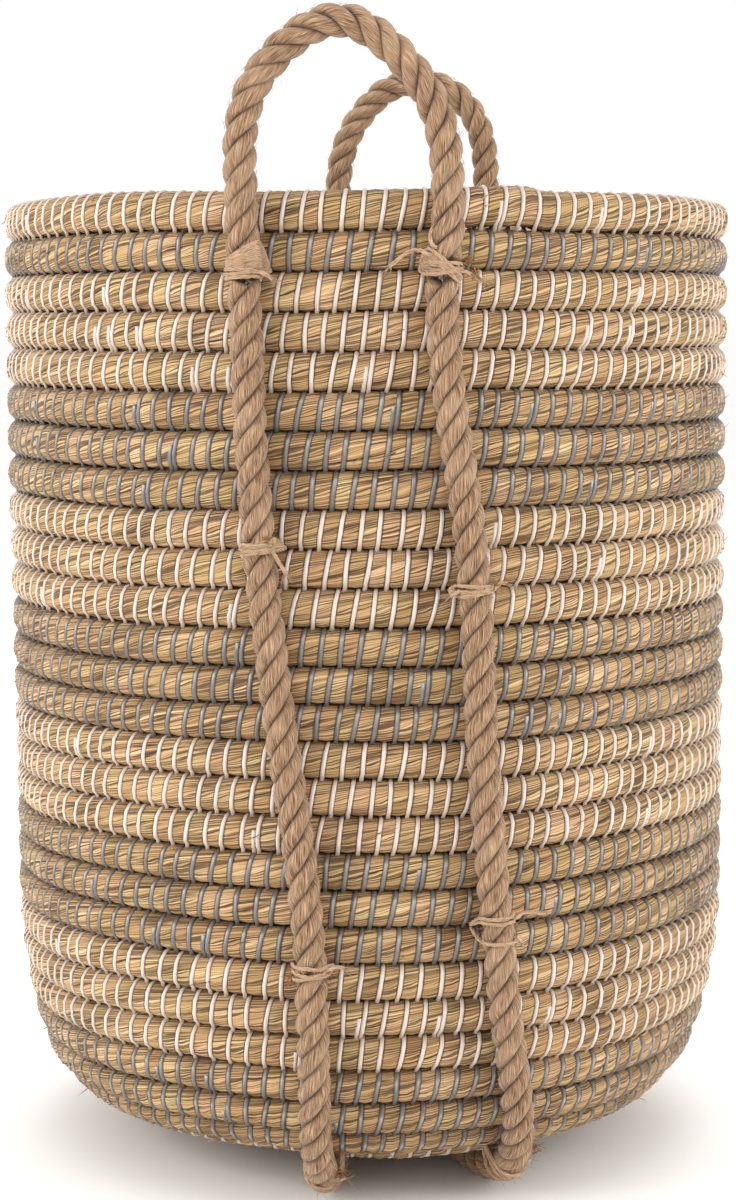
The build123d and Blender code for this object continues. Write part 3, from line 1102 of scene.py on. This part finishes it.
def add_strands(pile, line, phase, ply_radius, ply_offset, lay, sides, step, depth=1.0):
    """Plies twisted round a line (x, y, z, outward), and the phase at its end. Depth is
    how dark the painted shade in the grooves between them is."""
    walked_line, distance = walked(line, step)
    path, outward = walked_line[:, :3], walked_line[:, 3:]
    _, out, across = frames(path, outward)
    twist = phase + tau * distance / lay
    shape = rod_shape(sides, len(path) - 1)
    reach = ply_offset + ply_radius
    for ply in range(PLIES):
        turned = (twist + tau * ply / PLIES)[:, None]
        radial = np.cos(turned) * out + np.sin(turned) * across
        centre = path + radial * ply_offset
        _, ply_out, ply_across = frames(centre, radial)
        swell = ply_radius * (1 + 0.03 * np.sin(distance / lay * 9.7 + ply * 2))
        points = tube_points(shape, centre, ply_out, ply_across, swell)
        from_axis = np.linalg.norm(points - path[shape.step], axis=-1)
        points[:, 2] = np.maximum(points[:, 2], CLEAR_OF_FLOOR)
        rolled = (twist[shape.corner_step] + tau * ply / PLIES) * reach
        v = rolled + (shape.corner_side / sides - 0.5) * tau * ply_radius
        uv = np.stack([distance[shape.corner_step], v], axis=-1)
        # Painted shade, darkest deep between the plies.
        groove = np.clip((reach - from_axis) / (reach * 0.4), 0, 1) * depth
        pile.add(shape, points[None], uv[None], groove=groove[None])
    return twist[-1]


def add_rope_fuzz(pile, line, rope, random):
    """Loose fibres along a rope."""
    walked_line, distance = walked(line, 1 * MM)
    path, outward = walked_line[:, :3], walked_line[:, 3:]
    along, out, across = frames(path, outward)
    count = int(distance[-1] / MM * rope.hairs)
    at = random.integers(0, len(path), count)
    angle = random.uniform(0, tau, count)[:, None]
    radial = np.cos(angle) * out[at] + np.sin(angle) * across[at]
    around = np.cross(along[at], radial)
    starts = path[at] + radial * (rope.strand_radius + rope.helix_radius) * 0.9
    way = random.choice([-1, 1], (count, 1))
    direction = unit(along[at] * way + around * random.normal(0.15, 0.35, (count, 1)) * way)
    lift = radial * random.uniform(0.1, 0.9, (count, 1))
    keep = starts[:, 2] > 3 * MM
    add_hairs(pile, random, starts[keep], direction[keep], lift[keep],
              (2 * MM, 6.5 * MM), 0.12 * MM)


def rope_piece(name, line, phase, lay, rope, seed):
    """A laid rope with its fuzz, and the twist at its end."""
    pile = Pile()
    end = add_strands(pile, line, phase, rope.strand_radius, rope.helix_radius, lay,
                      ROPE_SIDES, ROPE_STEP)
    add_rope_fuzz(pile, line, rope, np.random.default_rng(seed))
    return pile.piece(name, jute_material(rope)), end


class BASKET_OT_ropes(bpy.types.Operator):
    """Lay the two ropes and the two handles, with strands that run on under the ties"""

    bl_idname = "basket.ropes"
    bl_label = "Ropes and handles"

    BEND_BELOW, BEND_ABOVE = 2 * MM, 45 * MM  # below and above the hinge

    def execute(self, context):
        rope = context.scene.basket_rope
        form, _ = form_and_rows(context.scene)
        line = run_line(form, rope, "left")
        left, left_end = rope_piece("left_rope_run", line, 0.0, rope.lay, rope, 21)
        line = handle_line(form, rope, "front")
        front, front_end = rope_piece("front_handle_rope", line, 0.0, rope.lay, rope, 22)
        line = handle_line(form, rope, "back")
        back, back_end = rope_piece("back_handle_rope", line, left_end, rope.lay, rope, 23)
        # The right rope joins the two handles, so its lay is eased until a strand meets
        # a strand at both its ends
        right_line = run_line(form, rope, "right")
        right_length = walked(right_line, 1 * MM)[1][-1]
        wanted = -back_end - front_end
        next_ply = tau / PLIES
        plies = round((right_length / rope.lay * tau - wanted) / next_ply)
        lay = right_length * tau / (wanted + plies * next_ply)
        right, _ = rope_piece("right_rope_run", right_line, front_end, lay, rope, 24)
        for piece, node in ((left, "left_rope"), (right, "right_rope")):
            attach(piece, "basket")
            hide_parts(node)
        for piece, node in ((front, "front_handle"), (back, "back_handle")):
            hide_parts(node)
            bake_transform(piece)
        return {"FINISHED"}


# ------------------------------------------------------------------ ties

# Each tie, in millimetres as seen from outside: x to the right of the rope's middle, y
# up along it, o out from it. Its wraps give their height on the left and on the right.
# Its fans are spread jute between two such wraps. Its tails give their corners, and its
# tufts give their place, the way they point and how many fibres they have
TIES = {
    "front_left_tie_1": (
        [(1, 0), (-1.5, -1), (-3.5, -3)], [((0, 1), (4, 14))],
        [[(9, -1, 4), (12, -2, 2), (15, -5, 1)]], [],
    ),
    "front_left_tie_2": (
        [(-1, 2), (2, 0), (4.5, 3)], [((-1, 2), (2, 6))], [[(8, 1, 5), (10, -5, 3), (13, -12, 1)]],
        [((6, 5, 6), (0.5, 0.8, 0.5), 16)],
    ),
    "front_left_tie_3": (
        [(-2, 1), (1.5, -1), (5, 3)], [], [[(9, 2, 3), (13, 3, 0), (17, 2, -1)]],
        [((-9, -2, 2), (-0.7, -0.6, 0.3), 14)],
    ),
    "front_left_tie_4": (
        [(3, -3), (-3, 2), (-8, -8)], [], [[(8, 0, 4), (12, -3, 2)]],
        [((10, 5, 2), (0.5, 0.8, 0.2), 15)],
    ),
    "front_right_tie_1": (
        [(10, -4), (3, 3), (-3, 1)], [((5, -7), (8, -4)), ((-1, -1), (2, 1))],
        [
            [(-8, 6, 5), (-14, 9, 2), (-20, 6, 1), (-27, -1, 1)],
            [(-7, 10, 6), (-9, 15, 3), (-7, 20, 2)],
            [(9, 0, 4), (13, -1, 2), (18, -4, 1)],
        ],
        [((11, 5, 3), (0.8, 0.5, 0.3), 18), ((15, -2, 2), (0.9, -0.3, 0.2), 10)],
    ),
    "front_right_tie_2": (
        [(-2, 2), (1, -1), (4, 1.5)], [((-2, 0), (0, 2))],
        [[(-9, 1, 3), (-13, -1, 1)], [(9, 0, 3), (13, 3, 1), (16, 2, 1)]],
        [((9, 1, 2), (0.7, -0.5, 0.3), 8)],
    ),
    "front_right_tie_3": (
        [(5, 3), (7, 6), (-6, -7)], [],
        [[(9, 4, 3), (15, 6, 0), (21, 4, 0), (26, 3, 0)], [(9, -6, 2), (12, -9, 0)]], [],
    ),
    "front_right_tie_4": (
        [(4, -4), (-4, 3), (8, 9)], [], [[(9, 6, 3), (13, 2, 1), (15, -3, 1)]],
        [((10, 20, -2), (0.6, 0.4, 0.2), 12)],
    ),
    "back_left_tie_1": (
        [(4, -2), (-1, 3), (1, 0), (-4, -3)], [((3, -4), (6, -2))],
        [[(9, 1, 3), (14, 4, 1), (19, 1, 1)]], [((9, 3, 3), (0.7, 0.6, 0.2), 10)],
    ),
    "back_left_tie_2": (
        [(-2, 2), (2, -2), (4, 4)], [], [[(-9, 0, 3), (-13, -4, 1)]],
        [((-9, 1, 3), (-0.7, 0.6, 0.2), 9)],
    ),
    "back_left_tie_3": (
        [(-1, 3), (2, 0), (-4, -2)], [], [[(9, 1, 3), (14, -2, 1)]], [],
    ),
    "back_left_tie_4": (
        [(3, -3), (-3, 2), (6, 7)], [], [[(-9, 2, 3), (-14, 0, 1)]],
        [((9, 4, 2), (0.6, 0.7, 0.2), 9)],
    ),
    "back_right_tie_1": (
        [(-3, 3), (3, -2), (0, 1), (6, 4)], [((-4, 3), (-1, 6))],
        [[(-9, 0, 3), (-15, -3, 1), (-19, 0, 1)]], [((-10, 2, 3), (-0.8, 0.4, 0.2), 12)],
    ),
    "back_right_tie_2": (
        [(-2, 0), (1, 3), (5, 1)], [], [[(9, 0, 3), (13, -5, 1)]], [],
    ),
    "back_right_tie_3": (
        [(-3, 1), (2, -1), (4, 5)], [], [[(-9, 1, 3), (-14, 2, 1)]],
        [((9, 0, 3), (0.6, -0.6, 0.2), 8)],
    ),
    "back_right_tie_4": (
        [(4, -2), (-2, 3), (-6, -5)], [], [[(9, 2, 3), (13, 0, 1)]], [],
    ),
}


TWINE_SINK, FAN_SINK = 0.1, 0.4  # millimetres into the rope
TWINE_IN_STRAW = 3.0  # millimetres
FAN_THINNESS = 0.7  # as a share of the other twine
FRAYED_FIBRES = 16  # at the end of a tail
FLUFF = 46  # fibres round a tie


class Seat:
    """Where a tie sits on its rope: a point on the rope's middle and three directions."""

    def __init__(self, form, rope, node):
        line = rounded(leg_line(form, rope, node[:node.index("_tie")]), 3)
        index = np.argmin(np.abs(line[:, 2] - middle_height(node)))
        self.middle = line[index, :3]
        self.up = unit(line[index - 1, :3] - line[index + 1, :3])
        out = line[index, 3:]
        self.out = unit(out - self.up * (out @ self.up))
        self.right = np.cross(self.up, self.out)

    def place(self, corners):
        """Points given in millimetres right, up and out, in the frame, each with the
        direction out of the rope there."""
        corners = np.asarray(corners, float) * MM
        axes = np.array([self.right, self.up, self.out])
        points = self.middle + corners @ axes
        away = corners * [1, 0, 1] + [0, 0, 4 * MM]
        return np.concatenate([points, unit(away) @ axes], axis=-1)


def wrap_corners(left, right, reach, depth, random):
    """Corners of a wrap from the hollow beside the rope on the left, over the rope, to the right.
    """
    corners = [(-reach - 0.4, left * 0.1, -depth), (-reach - 0.7, left * 0.6, -depth * 0.45)]
    for degrees in range(180, -1, -30):
        share = (1 - cos(radians(180 - degrees))) / 2
        height = left + (right - left) * share + random.normal(0, 0.25)
        corners.append((reach * cos(radians(degrees)), height, reach * sin(radians(degrees))))
    corners += [(reach + 0.7, right * 0.6, -depth * 0.45), (reach + 0.4, right * 0.1, -depth)]
    return corners


def add_twine(pile, line, rope, random, thin=1.0):
    """Three loose plies of twine twisted along a line."""
    radius = rope.twine_radius * thin
    add_strands(pile, line, random.uniform(0, tau), radius, radius * 0.9, rope.twine_lay,
                TWINE_SIDES, TWINE_STEP, depth=0.12)


def add_tie(pile, seat, wraps, fans, tails, tufts, rope, random):
    """A tie's wraps, fans, tails and tufts, and the fluff on it, in millimetres."""
    reach = (rope.strand_radius + rope.helix_radius + rope.twine_radius) / MM - TWINE_SINK
    depth = (rope.rope_radius + rope.gap) / MM + TWINE_IN_STRAW
    for left, right in wraps:
        line = seat.place(wrap_corners(left, right, reach, depth, random))
        add_twine(pile, rounded(line), rope, random)
    for low, high in fans:
        for share in np.linspace(0, 1, ceil(max(np.abs(np.subtract(high, low)))) + 1):
            left, right = np.array(low) * (1 - share) + np.array(high) * share
            spread = wrap_corners(left, right, reach - FAN_SINK, depth, random)
            add_twine(pile, rounded(seat.place(spread)), rope, random, FAN_THINNESS)
    for corners in tails:
        start = np.array(corners[0]) * [0.75, 1, 1]
        line = rounded(seat.place([start, *corners]))
        add_twine(pile, line, rope, random)
        tip, before = line[-1], line[-4]
        way = unit(tip[:3] - before[:3])
        spread = unit(way + random.normal(0, 0.42, (FRAYED_FIBRES, 3)))
        starts = tip[:3] - way * 1.5 * MM + random.normal(0, 0.35 * MM, (FRAYED_FIBRES, 3))
        add_hairs(pile, random, starts, spread, way * 0.2, (3 * MM, 9 * MM), 0.2 * MM)
    for place, way, fibres in tufts:
        foot = seat.place([place])[0, :3]
        axes = np.array([seat.right, seat.up, seat.out])
        spread = unit(np.array(way) @ axes + random.normal(0, 0.4, (fibres, 3)))
        starts = foot + random.normal(0, 1.0 * MM, (fibres, 3)) - spread * 2 * MM
        add_hairs(pile, random, starts, spread, spread[:1] * 0.1, (4.5 * MM, 8 * MM),
                  0.42 * MM, material=1)
    angle = random.uniform(-0.2 * pi, 1.2 * pi, FLUFF)
    height = random.normal(0, 3.5, FLUFF)
    feet = seat.place(np.stack([np.cos(angle) * reach, height, np.sin(angle) * reach], axis=-1))
    way = unit(feet[:, 3:] * 0.6 + random.normal(0, 0.6, (FLUFF, 3)))
    add_hairs(pile, random, feet[:, :3], way, way * 0.1, (2.5 * MM, 8 * MM), 0.12 * MM)


class BASKET_OT_ties(bpy.types.Operator):
    """Tie the ropes into the grooves with twine"""

    bl_idname = "basket.ties"
    bl_label = "Twine ties"

    def execute(self, context):
        rope = context.scene.basket_rope
        form, _ = form_and_rows(context.scene)
        for index, (node, parts) in enumerate(TIES.items()):
            pile = Pile()
            random = np.random.default_rng(300 + index)
            add_tie(pile, Seat(form, rope, node), *parts, rope, random)
            piece = pile.piece(f"{node}_twine", twine_material(rope), husk_material(rope))
            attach(piece, "basket")
            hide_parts(node)
        return {"FINISHED"}


# ------------------------------------------------------------------ stage


class BASKET_OT_stage(bpy.types.Operator):
    """Set out the floor, the lamps and the camera"""

    bl_idname = "basket.stage"
    bl_label = "Floor, light and camera"

    FLOOR_SIZE = 60.0
    LAMPS = {  # place, width and share of the key light's power
        "left_lamp": ((-2.4, -1.1, 1.3), 1.6, 1.45),
        "right_lamp": ((2.4, -1.0, 1.2), 1.6, 1.1),
        "back_lamp": ((0.3, 2.2, 1.9), 1.8, 0.7),
        "top_lamp": ((0.0, -0.2, 2.6), 1.6, 0.5),
    }

    def execute(self, context):
        stage = context.scene.basket_stage
        mesh = bpy.data.meshes.new("floor")
        bm = bmesh.new()
        bmesh.ops.create_grid(bm, x_segments=1, y_segments=1, size=self.FLOOR_SIZE)
        bm.to_mesh(mesh)
        bm.free()
        mesh.materials.append(floor_material(stage))
        floor = bpy.data.objects.new("floor", mesh)
        context.scene.collection.objects.link(floor)
        target = (CAD_BOX[0] + CAD_BOX[1]) / 2
        for name, (place, size, share) in self.LAMPS.items():
            lamp = bpy.data.lights.new(name, "AREA")
            lamp.shape, lamp.size, lamp.energy = "DISK", size, stage.key * share
            made = bpy.data.objects.new(name, lamp)
            made.location = place
            made.rotation_euler = (target - Vector(place)).to_track_quat("-Z", "Y").to_euler()
            context.scene.collection.objects.link(made)
        world = bpy.data.worlds.new("studio")
        world.use_nodes = True
        background = world.node_tree.nodes["Background"].inputs
        background["Color"].default_value = (1, 1, 1, 1)
        background["Strength"].default_value = stage.sky
        context.scene.world = world
        context.scene.view_settings.view_transform = "Standard"
        camera = bpy.data.objects.new("camera", bpy.data.cameras.new("camera"))
        camera.data.lens, camera.data.sensor_width = stage.lens, 36.0
        camera.location = (0, -stage.camera_back, stage.camera_height)
        tilt = Matrix.Rotation(pi / 2 - stage.camera_tilt, 4, "X")
        camera.rotation_euler = (tilt @ Matrix.Rotation(stage.camera_roll, 4, "Z")).to_euler()
        context.scene.collection.objects.link(camera)
        context.scene.camera = camera
        return {"FINISHED"}


# ------------------------------------------------------------------ add-on


OPERATORS = (
    BASKET_OT_stage, BASKET_OT_straw, BASKET_OT_stitches, BASKET_OT_loose_straw,
    BASKET_OT_ropes, BASKET_OT_ties,
)


class BASKET_PT_panel(bpy.types.Panel):
    """The basket's steps, in order"""

    bl_idname = "BASKET_PT_panel"
    bl_label = "Woven basket"
    bl_space_type = "VIEW_3D"
    bl_region_type = "UI"
    bl_category = "Basket"

    def draw(self, context):
        for operator in OPERATORS:
            self.layout.operator(operator.bl_idname)


SETTINGS = {
    "basket_straw": StrawSettings,
    "basket_stitch": StitchSettings,
    "basket_rope": RopeSettings,
    "basket_stage": StageSettings,
}


def register():
    for cls in (*SETTINGS.values(), *OPERATORS, BASKET_PT_panel):
        bpy.utils.register_class(cls)
    for name, cls in SETTINGS.items():
        setattr(bpy.types.Scene, name, PointerProperty(type=cls))


def unregister():
    for name in SETTINGS:
        delattr(bpy.types.Scene, name)
    for cls in reversed((*SETTINGS.values(), *OPERATORS, BASKET_PT_panel)):
        bpy.utils.unregister_class(cls)


def main():
    """Build the whole basket."""
    register()
    bpy.ops.basket.stage()
    bpy.ops.basket.straw()
    bpy.ops.basket.stitches()
    bpy.ops.basket.loose_straw()
    bpy.ops.basket.ropes()
    bpy.ops.basket.ties()


if __name__ == "__main__":
    main()
